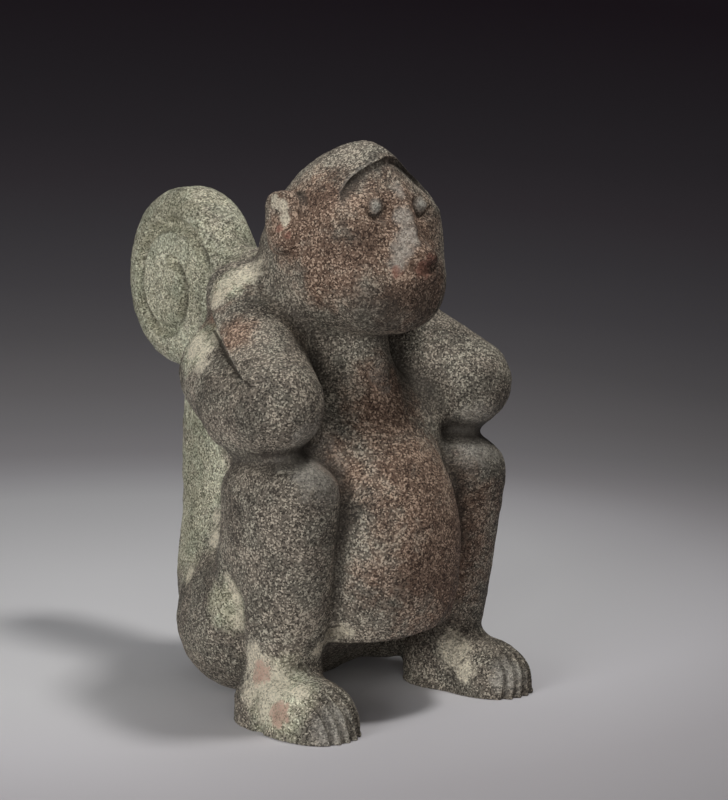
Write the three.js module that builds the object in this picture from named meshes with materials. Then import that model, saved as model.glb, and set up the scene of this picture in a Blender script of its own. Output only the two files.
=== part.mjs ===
// Stone monkey sculpture: a squatting monkey carved from one stone, elbows on its knees, hands behind
// its neck and its tail rolled into a disc at its back. Millimetres, +Z up, the figure faces -Y.
//
// The stone is written as a field: a number for each point of space, below zero inside the stone and
// above zero outside, close to the distance to its surface. Rounded masses give the numbers, and melt
// into each other with a given softness. The surface is then walked through a grid of small cells and
// thinned to flat facets.

import * as THREE from 'three';

// Driving dimensions
// A mass has a centre, three half sizes and a fullness: 2 is an ellipsoid, more is squarer. A rod runs
// from one ball to another. blend is the width of the fillet where a thing meets what is there before.
// Everything on a limb, an ear or an eye is given for x > 0 and mirrored to the other side.

const torso = {
  back: { at: [0, 87, 154], half: [64, 68, 120], fullness: 2.6 },
  chest: {
    middleY: 18, waist: { z: 150, wide: 52, deep: 54 }, neck: { z: 248, wide: 30, deep: 34 },
    keel: 1.6, keelRound: 6, endLength: 13, endBlend: 20, blend: 24,
  },
  flank: { at: [46, 2, 190], half: [26, 20, 24], fullness: 2, blend: 30 },
  belly: { at: [0, -4, 104], half: [55, 63, 76], fullness: 2.5, blend: 42 },
  rump: { at: [0, 66, 56], half: [78, 80, 60], fullness: 2.3, blend: 46 },
  underside: { rimHeight: 54, frontY: -14, turn: 0.12, fall: 0.704, blend: 3.5 },
};

const leg = {
  ankleZ: 40, kneeZ: 160, topZ: 180, topBlend: 36,
  middleX: 74, lean: 2.5, halfWidth: 26, widening: 7.5,
  shinY: -27, shinBulge: 23, shinCurve: 0.8,
  calfY: 20, calfBulge: 5, thighBulge: 18, thighFromZ: 76, thighToZ: 112,
  fullness: 2.3, blend: 6,
  thigh: { from: [76, 18, 140], to: [66, 48, 52], radii: [23, 30] },
  haunch: { at: [64, 60, 51], half: [32, 54, 45], fullness: 2, blend: 7, thighBlend: 20 },
};

const foot = {
  sole: { at: [80, -27, 3], half: [29, 47, 33], fullness: 2.4, blend: 10 },
  heel: { at: [76, 4, 10], half: [27, 25, 28], fullness: 2, blend: 14 },
  heelCrease: {
    parts: [
      { from: [102, 8, 45], to: [108, -8, 24], radii: [2, 3.2] },
      { from: [108, -8, 24], to: [110, -18, 0], radii: [3.2, 3.8] },
    ],
    blend: 3,
  },
  toes: {
    grooves: 4, firstX: 68.5, pitch: 7.6, slant: 0.18, middleZ: 10,
    backY: -44, frontY: -56, topZ: 38, fullZ: 24, halfWidth: 2.9, depth: 2.6,
  },
};

const arm = {
  upper: { from: [66, 60, 224], to: [82, 20, 207], radii: [36, 34] },
  fore: { from: [86, -10, 212], to: [46, 72, 272], radii: [33, 27], blend: 18 },
  crease: {
    y: 30, z: 249.5, rise: 0.51, edge: 2.6, fade: 22, depth: 5.5,
    endY: -24, fullY: 12, fromX: 62, fullX: 74,
  },
  blend: 9,
};

const head = {
  nape: { from: [42, 58, 264], to: [36, 28, 256], radii: [24, 17], blend: 16 },
  skull: {
    at: [0, 12, 300], halfWidth: 57, halfLength: 76, crown: 81, jaw: 50, lean: 0.25,
    crownFullness: 1.95, jawFullness: 2.4, blend: 9,
  },
  muzzle: { at: [0, -32, 286], half: [34, 32, 28], fullness: 2, blend: 20 },
  roof: { y: -27, z: 374, fallToSide: 0.75, fallToFront: 0.45, blend: 8 },
  face: {
    y: -38.5, z: 330, slope: 15, cheekRadius: 300, browEdge: 8, browZ: 350, chinEdge: 20, chinZ: 310,
  },
  brow: {
    z: 330, fromZ: 330, fullZ: 352, backY: 10, halfWidth: 47, rise: 37.5, fullness: 1.45,
    edge: 3, fade: 22, depth: 3.6,
  },
  nose: {
    topZ: 368, tipZ: 312, height: [4, 12.5], halfWidth: [9, 15], round: 2, tipBlend: 3.5,
    reach: 17, backY: -8, blend: 3,
  },
  snout: { at: [3, -37, 295], half: [24, 16, 18], fullness: 2, blend: 12 },
  upperLip: { at: [5, -48.5, 303.5], half: [14, 11, 8.5], fullness: 2, blend: 6 },
  lowerLip: { at: [5, -48, 292.5], half: [12, 10.5, 5.5], fullness: 2, blend: 3 },
  mouth: { from: [4, -61.5, 297.5], to: [20, -55, 298.5], radii: [1.9, 1.8], blend: 2 },
  ear: { at: [56, 16, 326], half: [11, 15, 22], fullness: 3.2, tilt: 6, turn: 14, blend: 3 },
  earHollow: { at: [82, 4, 332], radius: 17, blend: 8 },
  eyeSocket: { at: [20, -37.5, 336], half: [9.8, 5, 7.8], fullness: 2, blend: 1.5 },
  eyeball: { at: [20, -32.2, 336], half: [6.8, 2.8, 5.6], fullness: 2, blend: 1 },
};

const tail = {
  root: { at: [0, 112, 258], half: [30, 46, 46], fullness: 2, blend: 14 },
  coil: { y: 186, z: 278.5, halfLength: 61, halfHeight: 67, halfThickness: 25, rimBlend: 24, blend: 12 },
  spiral: {
    y: 188, z: 271, oval: 0.86, tipRadius: 20, growth: 0.85, turns: 1.4, fadeIn: 0.1, fadeOut: 0.2,
    inner: { halfWidth: 5.5, depth: 6 }, outer: { halfWidth: 9, depth: 4.5 },
  },
  spine: { from: [0, 136, 64], to: [0, 146, 230], radii: [20, 24], blend: 10 },
};

const ground = { z: 0, blend: 2 };

// The box that holds the stone, the middle of its length, the cell size and the number of facets
const reach = { low: [-125, -84, -7], high: [125, 256, 388] };
const middleY = 86.4;
const cell = 3.6;
const facets = 9800;
const floorSnap = 0.5; // mm above the ground that are pressed flat onto it

// Blending

const clamp = (value, low, high) => Math.min(Math.max(value, low), high);

const ramp = (from, to, value) => {
  const t = clamp((value - from) / (to - from), 0, 1);
  return t * t * (3 - 2 * t);
};

const radians = (degrees) => degrees * Math.PI / 180;

const between = (from, to, t) => from + (to - from) * t;

// Joins two bodies of stone with a fillet
function melt(a, b, blend) {
  const near = Math.max(blend - Math.abs(a - b), 0) / blend;
  return Math.min(a, b) - near * near * blend / 4;
}

// Keeps only what is in both, with a rounded edge
const trim = (a, b, blend) => -melt(-a, -b, blend);

// Presses a soft groove along a line, given the distance to that line
function groove(stone, line, halfWidth, depth) {
  const t = Math.max(1 - (line / halfWidth) ** 2, 0);
  return stone + depth * t * t;
}

// 0 above an edge, 1 just below it, then fading out
const ledge = (below, edge, fade) => ramp(-edge, edge, below) * ramp(fade, edge, below);

// Masses

const ball = (x, y, z, { at, radius }) => Math.hypot(x - at[0], y - at[1], z - at[2]) - radius;

function rod(x, y, z, { from, to, radii }) {
  const ax = to[0] - from[0], ay = to[1] - from[1], az = to[2] - from[2];
  const dx = x - from[0], dy = y - from[1], dz = z - from[2];
  const t = clamp((dx * ax + dy * ay + dz * az) / (ax * ax + ay * ay + az * az), 0, 1);
  return Math.hypot(dx - t * ax, dy - t * ay, dz - t * az) - radii[0] - t * (radii[1] - radii[0]);
}

function turned(a, b, degrees) {
  const c = Math.cos(radians(degrees)), s = Math.sin(radians(degrees));
  return [a * c + b * s, b * c - a * s];
}

function mass(x, y, z, { at, half, fullness, tilt = 0, turn = 0 }) {
  let dx = x - at[0], dy = y - at[1], dz = z - at[2];
  if (turn) [dx, dy] = turned(dx, dy, turn);
  if (tilt) [dz, dy] = turned(dz, dy, tilt);
  const u = Math.abs(dx) / half[0], v = Math.abs(dy) / half[1], w = Math.abs(dz) / half[2];
  const power = fullness - 1;
  const k = Math.max(fullness === 2 ? Math.hypot(u, v, w)
    : (u ** fullness + v ** fullness + w ** fullness) ** (1 / fullness), 1e-4);
  const steepness = Math.hypot(u ** power / half[0], v ** power / half[1], w ** power / half[2]);
  return (k - 1) * k ** power / Math.max(steepness, 1e-6);
}

// Torso: rump and back behind, belly and chest in front, hollowed below so that it sits on the rump

// The chest comes to a blunt keel in front
function chestField(side, y, z) {
  const { middleY: y0, waist, neck, keel, keelRound, endLength, endBlend } = torso.chest;
  const t = clamp((z - waist.z) / (neck.z - waist.z), 0, 1);
  const wide = between(waist.wide, neck.wide, t), deep = between(waist.deep, neck.deep, t);
  const u = Math.hypot(side, keelRound) / wide, v = Math.abs(y - y0) / deep;
  const k = (u ** keel + v ** keel) ** (1 / keel);
  const pastEnd = Math.abs(z - (waist.z + neck.z) / 2) - (neck.z - waist.z) / 2 - endLength;
  return trim((k - 1) * Math.min(wide, deep), pastEnd, endBlend);
}

function torsoField(x, y, z, side) {
  const { back, chest, flank, belly, rump, underside } = torso;
  let stone = melt(mass(x, y, z, back), chestField(side, y, z), chest.blend);
  stone = melt(stone, mass(side, y, z, flank), flank.blend);
  stone = melt(stone, mass(x, y, z, belly), belly.blend);
  stone = melt(stone, mass(x, y, z, rump), rump.blend);
  const rimHeight = underside.rimHeight + x * underside.turn;
  const cutHeight = rimHeight - Math.max(y - underside.frontY, 0) * underside.fall;
  return trim(stone, (cutHeight - z) / Math.hypot(1, underside.fall), underside.blend);
}

// Leg: shin and thigh are pressed together in one flattened column, in front of a rounded haunch

function legColumn(side, y, z) {
  const t = clamp((z - leg.ankleZ) / (leg.kneeZ - leg.ankleZ), 0, 1);
  const front = leg.shinY - leg.shinBulge * t ** leg.shinCurve;
  const rear = leg.calfY + leg.calfBulge * t + leg.thighBulge * ramp(leg.thighFromZ, leg.thighToZ, z);
  const halfWidth = leg.halfWidth + leg.widening * t, halfLength = (rear - front) / 2;
  const u = Math.abs(side - leg.middleX - leg.lean * t) / halfWidth;
  const v = Math.abs(y - (rear + front) / 2) / halfLength;
  const k = (u ** leg.fullness + v ** leg.fullness) ** (1 / leg.fullness);
  return trim((k - 1) * Math.min(halfWidth, halfLength), z - leg.topZ, leg.topBlend);
}

function addLegs(stone, side, y, z) {
  const { haunch, thigh } = leg;
  const seat = melt(mass(side, y, z, haunch), rod(side, y, z, thigh), haunch.thighBlend);
  return melt(melt(stone, seat, haunch.blend), legColumn(side, y, z), leg.blend);
}

function addFeet(stone, side, y, z) {
  const { sole, heel, heelCrease, toes } = foot;
  let carved = melt(stone, melt(mass(side, y, z, sole), mass(side, y, z, heel), heel.blend), sole.blend);
  for (const part of heelCrease.parts) carved = trim(carved, -rod(side, y, z, part), heelCrease.blend);
  const depth = toes.depth * ramp(toes.backY, toes.frontY, y) * ramp(toes.topZ, toes.fullZ, z);
  for (let i = 0; i < toes.grooves; i++) {
    const line = side - toes.firstX - toes.pitch * i - (z - toes.middleZ) * toes.slant;
    carved = groove(carved, line, toes.halfWidth, depth);
  }
  return carved;
}

function addArms(stone, side, y, z) {
  const { upper, fore, crease } = arm;
  const bent = melt(rod(side, y, z, upper), rod(side, y, z, fore), fore.blend);
  const below = (crease.z + crease.rise * (y - crease.y) - z) / Math.hypot(1, crease.rise);
  const depth = crease.depth * ramp(crease.endY, crease.fullY, y) * ramp(crease.fromX, crease.fullX, side);
  return melt(stone, bent + depth * ledge(below, crease.edge, crease.fade), arm.blend);
}

// Head: a skull with a heavy jaw, its face cut off by one sloping plane that leaves the brow standing

function skullField(x, y, z) {
  const { at, halfWidth, halfLength, crown, jaw, lean, crownFullness, jawFullness } = head.skull;
  const dz = z - at[2], above = dz > 0;
  const dy = y - at[1] + (above ? dz * lean : 0);
  const tall = above ? crown : jaw, fullness = above ? crownFullness : jawFullness;
  const round = Math.max(Math.hypot(x / halfWidth, dy / halfLength), 1e-4), w = Math.abs(dz / tall);
  const k = Math.max((round ** fullness + w ** fullness) ** (1 / fullness), 1e-4);
  const across = Math.hypot(x / halfWidth ** 2, dy / halfLength ** 2) / round;
  const power = fullness - 1;
  return (k - 1) * k ** power / Math.max(Math.hypot(round ** power * across, w ** power / tall), 1e-4);
}

function facePlane(x, y, z) {
  const { face } = head;
  const forward = face.y - y + x * x / (2 * face.cheekRadius);
  return Math.cos(radians(face.slope)) * forward + Math.sin(radians(face.slope)) * (z - face.z);
}

// The nose is a wedge on the face that gets higher and wider downwards and is cut off below
function noseField(side, y, z, plane) {
  const { nose } = head;
  const down = ramp(nose.topZ, nose.tipZ, z);
  const high = between(...nose.height, down), wide = between(...nose.halfWidth, down);
  const slopes = (plane - high * (1 - Math.hypot(side, nose.round) / wide)) / Math.hypot(1, high / wide);
  const outside = Math.max(side - nose.reach, y - nose.backY, z - nose.topZ);
  return trim(trim(slopes, nose.tipZ - z, nose.tipBlend), outside, nose.blend);
}

// The top of the head falls to both sides of the middle like a roof, down to the brow
function cutRoof(stone, side, y, z) {
  const { roof } = head;
  const rise = z - roof.z + roof.fallToSide * side - roof.fallToFront * (y - roof.y);
  return trim(stone, rise / Math.hypot(1, roof.fallToSide, roof.fallToFront), roof.blend);
}

// The brow is an arch, seen from the front, and the face lies a step behind it
function carveBrow(stone, side, y, z) {
  const { brow } = head;
  if (y > brow.backY) return stone;
  const u = side / brow.halfWidth, w = Math.max(z - brow.z, 0) / brow.rise;
  const below = (1 - (u ** brow.fullness + w ** brow.fullness) ** (1 / brow.fullness)) * brow.rise;
  return stone + brow.depth * ledge(below, brow.edge, brow.fade) * ramp(brow.fromZ, brow.fullZ, z);
}

function headField(x, y, z, side) {
  const { muzzle, face, nose, snout, upperLip, lowerLip, mouth, ear, earHollow, eyeSocket, eyeball } = head;
  const plane = facePlane(x, y, z);
  const edge = between(face.browEdge, face.chinEdge, ramp(face.browZ, face.chinZ, z));
  let stone = trim(melt(skullField(x, y, z), mass(x, y, z, muzzle), muzzle.blend), plane, edge);
  stone = melt(stone, noseField(side, y, z, plane), nose.blend);
  stone = carveBrow(cutRoof(stone, side, y, z), side, y, z);
  stone = melt(stone, mass(x, y, z, snout), snout.blend);
  const lips = melt(mass(x, y, z, upperLip), mass(x, y, z, lowerLip), lowerLip.blend);
  stone = trim(melt(stone, lips, upperLip.blend), -rod(x, y, z, mouth), mouth.blend);
  const lug = trim(mass(side, y, z, ear), -ball(side, y, z, earHollow), earHollow.blend);
  stone = trim(melt(stone, lug, ear.blend), -mass(side, y, z, eyeSocket), eyeSocket.blend);
  return melt(stone, mass(side, y, z, eyeball), eyeball.blend);
}

// Tail: it climbs the spine, goes up in front of the coil, over its top and round, and ends inside.
// The groove between its turns widens like a snail's, squeezed a little to an oval.

function spiralDepth(y, z) {
  const { oval, tipRadius, growth, turns, fadeIn, fadeOut, inner, outer } = tail.spiral;
  const forward = (tail.spiral.y - y) / oval, up = z - tail.spiral.z;
  const heading = (Math.atan2(forward, up) / (2 * Math.PI) + 1) % 1;
  let deepest = 0;
  for (let turn = 0; turn < turns; turn++) {
    const along = heading + turn, share = along / turns;
    const across = Math.hypot(forward, up) - tipRadius * Math.exp(growth * along);
    const fade = ramp(0, fadeIn, along) * ramp(turns, turns - fadeOut, along);
    const depth = fade * between(inner.depth, outer.depth, share);
    const halfWidth = between(inner.halfWidth, outer.halfWidth, share);
    deepest = Math.max(deepest, groove(0, across, halfWidth, depth));
  }
  return deepest;
}

function coilField(y, z, side) {
  const { coil } = tail;
  const u = (y - coil.y) / coil.halfLength, w = (z - coil.z) / coil.halfHeight;
  const k = Math.hypot(u, w);
  const disc = k * (k - 1) / Math.max(Math.hypot(u / coil.halfLength, w / coil.halfHeight), 1e-6);
  return trim(disc, side - coil.halfThickness, coil.rimBlend) + spiralDepth(y, z);
}

function addTail(stone, x, y, z, side) {
  const { root, coil, spine } = tail;
  const rooted = melt(stone, mass(x, y, z, root), root.blend);
  return melt(melt(rooted, coilField(y, z, side), coil.blend), rod(x, y, z, spine), spine.blend);
}

function stoneField(x, y, z) {
  const side = Math.abs(x);
  let stone = addLegs(torsoField(x, y, z, side), side, y, z);
  stone = addArms(addFeet(stone, side, y, z), side, y, z);
  stone = melt(stone, rod(side, y, z, head.nape), head.nape.blend);
  stone = melt(stone, headField(x, y, z, side), head.skull.blend);
  stone = addTail(stone, x, y, z, side);
  return trim(stone, ground.z - z, ground.blend);
}

// Surface: each cell is split into six tetrahedra, and each of them gives up to two triangles

const axisOrders = [[0, 1, 2], [0, 2, 1], [1, 0, 2], [1, 2, 0], [2, 0, 1], [2, 1, 0]];

function walkSurface(field, { low, high }, step) {
  const cornerGap = 0.03; // of an edge, kept between a new point and the cell's corner
  const farAway = 3 * step; // no surface is met in a cell this far from it
  const count = low.map((value, axis) => Math.ceil((high[axis] - value) / step) + 1);
  const stride = [1, count[0], count[0] * count[1]];
  const place = (node) => [
    low[0] + step * (node % count[0]),
    low[1] + step * (Math.floor(node / count[0]) % count[1]),
    low[2] + step * Math.floor(node / stride[2]),
  ];
  const values = Float64Array.from({ length: stride[2] * count[2] }, (_, node) => field(...place(node)));

  const points = [], faces = [], made = new Map();
  const pointBetween = (a, b) => {
    const key = Math.min(a, b) * values.length + Math.max(a, b);
    if (!made.has(key)) {
      const t = clamp(values[a] / (values[a] - values[b]), cornerGap, 1 - cornerGap);
      const from = place(a), to = place(b);
      made.set(key, points.push(from.map((value, axis) => value + t * (to[axis] - value))) - 1);
    }
    return made.get(key);
  };
  const addFace = (a, b, c, inside, outside) => {
    const [p, q, r] = [a, b, c].map((index) => new THREE.Vector3(...points[index]));
    const normal = q.sub(p).cross(r.sub(p));
    const outward = new THREE.Vector3(...place(outside)).sub(new THREE.Vector3(...place(inside)));
    faces.push(normal.dot(outward) > 0 ? [a, b, c] : [a, c, b]);
  };
  const addTetrahedron = (nodes) => {
    const inside = nodes.filter((node) => values[node] < 0);
    const outside = nodes.filter((node) => values[node] >= 0);
    if (inside.length === 0 || outside.length === 0) return;
    if (inside.length === 2) {
      const [a, b] = inside, [c, d] = outside;
      const corners = [pointBetween(a, c), pointBetween(a, d), pointBetween(b, d), pointBetween(b, c)];
      addFace(corners[0], corners[1], corners[2], a, d);
      addFace(corners[0], corners[2], corners[3], a, c);
      return;
    }
    const [single, others] = inside.length === 1 ? [inside[0], outside] : [outside[0], inside];
    const corners = others.map((node) => pointBetween(single, node));
    addFace(...corners, inside[0], outside[0]);
  };

  for (let k = 0; k < count[2] - 1; k++) {
    for (let j = 0; j < count[1] - 1; j++) {
      for (let i = 0; i < count[0] - 1; i++) {
        const corner = i + j * stride[1] + k * stride[2];
        if (Math.abs(values[corner]) > farAway) continue;
        for (const [first, second] of axisOrders) {
          const a = corner + stride[first], b = a + stride[second];
          addTetrahedron([corner, a, b, corner + stride[0] + stride[1] + stride[2]]);
        }
      }
    }
  }
  return { points, faces };
}

// Moves a point along the field's slope until it lies on the surface
function settle(point, field) {
  const reachOut = 0.2, passes = 3, leastSteepness = 0.3;
  for (let pass = 0; pass < passes; pass++) {
    const here = field(...point);
    const slope = [0, 1, 2].map((axis) => {
      const ahead = [...point];
      ahead[axis] += reachOut;
      return (field(...ahead) - here) / reachOut;
    });
    const steepness = Math.max(slope[0] ** 2 + slope[1] ** 2 + slope[2] ** 2, leastSteepness);
    point = point.map((value, axis) => value - slope[axis] * here / steepness);
  }
  return point;
}

// Keeps the outer skin, the largest connected piece, so that no sealed pocket stays inside
function largestPiece({ points, faces }) {
  const leader = points.map((_, index) => index);
  const find = (index) => {
    while (leader[index] !== index) index = leader[index] = leader[leader[index]];
    return index;
  };
  for (const [a, b, c] of faces) {
    leader[find(a)] = find(b);
    leader[find(b)] = find(c);
  }
  const sizes = new Map();
  for (const [a] of faces) sizes.set(find(a), (sizes.get(find(a)) ?? 0) + 1);
  const largest = [...sizes].reduce((best, entry) => (entry[1] > best[1] ? entry : best))[0];
  return { points, faces: faces.filter(([a]) => find(a) === largest) };
}

// Thinning: edges are folded up one at a time, the one that moves the surface least first. The cost of
// a place is the sum of its squared distances to the planes of the faces that have met there.

class Queue {
  items = [];

  push(item) {
    const { items } = this;
    let index = items.push(item) - 1;
    while (index > 0) {
      const parent = (index - 1) >> 1;
      if (items[parent].cost <= item.cost) break;
      items[index] = items[parent];
      index = parent;
    }
    items[index] = item;
  }

  pop() {
    const { items } = this;
    const first = items[0], last = items.pop();
    if (items.length === 0) return first;
    let index = 0;
    while (true) {
      let child = 2 * index + 1;
      if (child >= items.length) break;
      if (child + 1 < items.length && items[child + 1].cost < items[child].cost) child++;
      if (items[child].cost >= last.cost) break;
      items[index] = items[child];
      index = child;
    }
    items[index] = last;
    return first;
  }
}

function faceNormal(p, q, r) {
  const ux = q[0] - p[0], uy = q[1] - p[1], uz = q[2] - p[2];
  const vx = r[0] - p[0], vy = r[1] - p[1], vz = r[2] - p[2];
  return [uy * vz - uz * vy, uz * vx - ux * vz, ux * vy - uy * vx];
}

const dot = (a, b) => a[0] * b[0] + a[1] * b[1] + a[2] * b[2];

function planeSum(points, [a, b, c], into) {
  const normal = faceNormal(points[a], points[b], points[c]);
  const doubleArea = Math.hypot(...normal);
  if (doubleArea < 1e-9) return;
  const [nx, ny, nz] = normal.map((value) => value / doubleArea);
  const d = -dot([nx, ny, nz], points[a]);
  const terms = [nx * nx, nx * ny, nx * nz, nx * d, ny * ny, ny * nz, ny * d, nz * nz, nz * d, d * d];
  for (const corner of [a, b, c]) {
    terms.forEach((term, index) => { into[corner][index] += term * doubleArea; });
  }
}

function placeCost(q, [x, y, z]) {
  return x * (q[0] * x + 2 * (q[1] * y + q[2] * z + q[3])) + y * (q[4] * y + 2 * (q[5] * z + q[6]))
    + z * (q[7] * z + 2 * q[8]) + q[9];
}

function bestPlace(q, from, to) {
  const middle = from.map((value, axis) => (value + to[axis]) / 2);
  const choices = [from, to, middle];
  const [a, b, c, d, e, f, g, h, i] = q;
  const minorX = e * h - f * f, minorY = b * h - c * f, minorZ = b * f - c * e;
  const determinant = a * minorX - b * minorY + c * minorZ;
  const size = Math.max(a, e, h);
  if (Math.abs(determinant) > 1e-4 * size ** 3) {
    const solved = [
      -(d * minorX - b * (g * h - f * i) + c * (g * f - e * i)) / determinant,
      -(a * (g * h - f * i) - d * minorY + c * (b * i - g * c)) / determinant,
      -(a * (e * i - g * f) - b * (b * i - g * c) + d * minorZ) / determinant,
    ];
    const span = Math.hypot(...from.map((value, axis) => value - to[axis]));
    if (Math.hypot(...solved.map((value, axis) => value - middle[axis])) < span) choices.push(solved);
  }
  return choices.reduce((best, place) => {
    const cost = placeCost(q, place);
    return cost < best.cost ? { cost, place } : best;
  }, { cost: Infinity });
}

function thin({ points, faces }, wanted) {
  const leastUpright = 0.35; // cosine of the angle that a facet may turn in one fold
  const around = points.map(() => new Set());
  const sums = points.map(() => new Float64Array(10));
  const version = new Int32Array(points.length);
  faces.forEach((face, index) => {
    planeSum(points, face, sums);
    for (const corner of face) around[corner].add(index);
  });

  const queue = new Queue();
  const offer = (a, b) => {
    const sum = sums[a].map((value, index) => value + sums[b][index]);
    queue.push({ ...bestPlace(sum, points[a], points[b]), a, b, version: version[a] + version[b] });
  };
  const neighbours = (corner) => {
    const found = new Set();
    for (const index of around[corner]) for (const other of faces[index]) found.add(other);
    found.delete(corner);
    return found;
  };
  const staysUpright = (corner, other, place) => {
    for (const index of around[corner]) {
      if (faces[index].includes(other)) continue;
      const before = faceNormal(...faces[index].map((each) => points[each]));
      const after = faceNormal(...faces[index].map((each) => (each === corner ? place : points[each])));
      if (dot(before, after) < leastUpright * Math.hypot(...before) * Math.hypot(...after)) return false;
    }
    return true;
  };

  for (const [a, b, c] of faces) {
    for (const [from, to] of [[a, b], [b, c], [c, a]]) if (from < to) offer(from, to);
  }
  let left = faces.length;
  while (left > wanted && queue.items.length > 0) {
    const { a, b, place, version: offered } = queue.pop();
    if (offered !== version[a] + version[b] || around[a].size === 0 || around[b].size === 0) continue;
    const nearB = neighbours(b);
    const shared = [...neighbours(a)].filter((corner) => nearB.has(corner));
    if (!nearB.has(a) || shared.length !== 2) continue;
    if (!staysUpright(a, b, place) || !staysUpright(b, a, place)) continue;

    for (const index of around[b]) {
      if (faces[index].includes(a)) {
        for (const corner of faces[index]) if (corner !== b) around[corner].delete(index);
        faces[index] = null;
        left--;
      } else {
        faces[index] = faces[index].map((corner) => (corner === b ? a : corner));
        around[a].add(index);
      }
    }
    around[b].clear();
    points[a] = place;
    for (let index = 0; index < 10; index++) sums[a][index] += sums[b][index];
    version[a] += 1;
    version[b] += 1;
    for (const corner of neighbours(a)) offer(a, corner);
  }
  return { points, faces: faces.filter((face) => face) };
}

// Drops the points that no face uses any more
function compact({ points, faces }) {
  const places = new Map();
  const renumber = (index) => {
    if (!places.has(index)) places.set(index, places.size);
    return places.get(index);
  };
  const renumbered = faces.map((face) => face.map(renumber));
  return { points: [...places.keys()].map((index) => points[index]), faces: renumbered };
}

// The stone

function makeStone() {
  const walked = largestPiece(walkSurface(stoneField, reach, cell));
  walked.points = walked.points.map((point) => settle(point, stoneField));
  const { points, faces } = compact(thin(walked, facets));

  const position = new Float32Array(points.length * 3);
  points.forEach(([x, y, z], index) => position.set([x, y - middleY, z < floorSnap ? 0 : z], 3 * index));
  const geometry = new THREE.BufferGeometry();
  geometry.setAttribute('position', new THREE.BufferAttribute(position, 3));
  geometry.setIndex(faces.flat());
  return geometry;
}

const stoneMaterial = new THREE.MeshStandardMaterial({ color: '#5f5750', roughness: 0.8, metalness: 0 });

const monkey = new THREE.Mesh(makeStone(), stoneMaterial);
monkey.name = 'stone_monkey';

const sculpture = new THREE.Group();
sculpture.add(monkey);

export default sculpture;
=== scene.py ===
# A squatting monkey carved from one speckled stone, its tail rolled into a disc behind its head
# The form is worked out in millimetres in the carver's frame and set on the CAD solid in metres.
import math
import bpy
import numpy as np
import openvdb
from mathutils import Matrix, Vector


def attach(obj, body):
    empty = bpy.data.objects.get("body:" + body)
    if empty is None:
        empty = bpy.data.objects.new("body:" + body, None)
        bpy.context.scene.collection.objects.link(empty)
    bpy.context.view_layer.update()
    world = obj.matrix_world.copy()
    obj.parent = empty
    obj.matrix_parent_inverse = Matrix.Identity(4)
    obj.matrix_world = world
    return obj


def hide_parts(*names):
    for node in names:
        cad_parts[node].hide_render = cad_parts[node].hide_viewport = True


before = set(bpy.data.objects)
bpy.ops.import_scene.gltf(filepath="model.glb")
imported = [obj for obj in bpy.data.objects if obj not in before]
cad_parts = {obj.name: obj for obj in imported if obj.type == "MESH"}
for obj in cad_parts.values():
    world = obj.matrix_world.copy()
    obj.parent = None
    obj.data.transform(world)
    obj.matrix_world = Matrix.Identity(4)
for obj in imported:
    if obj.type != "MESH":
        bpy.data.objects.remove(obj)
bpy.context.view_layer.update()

stoneNode = 'stone_monkey'
middleY = 86.4  # the carver's y at the middle of the ground outline

# The figure's form: a field in millimetres, below zero in the stone and above zero outside
# A mass is [centre, half sizes, fullness], 2 is an ellipsoid and more is squarer. A rod is [from, to,
# radii]. What is given for one limb, ear or eye is mirrored to the other side.

def clamp(value, low, high):
    return np.minimum(np.maximum(value, low), high)


def ramp(low, high, value):
    t = clamp((value - low) / (high - low), 0, 1)
    return t * t * (3 - 2 * t)


def melt(a, b, blend):  # joins two bodies of stone with a fillet
    near = np.maximum(blend - np.abs(a - b), 0) / blend
    return np.minimum(a, b) - near * near * blend / 4


def trim(a, b, blend):  # keeps what is in both
    return -melt(-a, -b, blend)


def groove(stone, line, halfWidth, depth):  # presses a soft groove along a line
    t = np.maximum(1 - (line / halfWidth) ** 2, 0)
    return stone + depth * t * t


def ridge(stone, line, halfWidth, height):
    return groove(stone, line, halfWidth, -height)


def ledge(below, edge, fade):  # 0 above an edge, 1 just below it, then fading out
    return ramp(-edge, edge, below) * ramp(fade, edge, below)


def ball(x, y, z, at, radius):
    return np.sqrt((x - at[0]) ** 2 + (y - at[1]) ** 2 + (z - at[2]) ** 2) - radius


def rod(x, y, z, start, end, radii):
    ax, ay, az = end[0] - start[0], end[1] - start[1], end[2] - start[2]
    dx, dy, dz = x - start[0], y - start[1], z - start[2]
    t = clamp((dx * ax + dy * ay + dz * az) / (ax * ax + ay * ay + az * az), 0, 1)
    reach = np.sqrt((dx - t * ax) ** 2 + (dy - t * ay) ** 2 + (dz - t * az) ** 2)
    return reach - radii[0] - t * (radii[1] - radii[0])


def pathDistance(x, y, z, points):  # to a path of straight stretches
    stretches = [rod(x, y, z, start, end, (0, 0)) for start, end in zip(points, points[1:])]
    return np.minimum.reduce(stretches)


def turned(a, b, degrees):
    c, s = math.cos(math.radians(degrees)), math.sin(math.radians(degrees))
    return a * c + b * s, b * c - a * s


def mass(x, y, z, at, half, fullness=2, tilt=0, turn=0):
    dx, dy, dz = x - at[0], y - at[1], z - at[2]
    if turn:
        dx, dy = turned(dx, dy, turn)
    if tilt:
        dz, dy = turned(dz, dy, tilt)
    u, v, w = np.abs(dx) / half[0], np.abs(dy) / half[1], np.abs(dz) / half[2]
    power = fullness - 1
    if fullness == 2:
        k = np.maximum(np.sqrt(u * u + v * v + w * w), 1e-4)
        steepness = np.sqrt((u / half[0]) ** 2 + (v / half[1]) ** 2 + (w / half[2]) ** 2)
    else:
        k = np.maximum((u ** fullness + v ** fullness + w ** fullness) ** (1 / fullness), 1e-4)
        steepness = np.sqrt((u ** power / half[0]) ** 2 + (v ** power / half[1]) ** 2
                            + (w ** power / half[2]) ** 2)
    return (k - 1) * k ** power / np.maximum(steepness, 1e-6)


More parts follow.
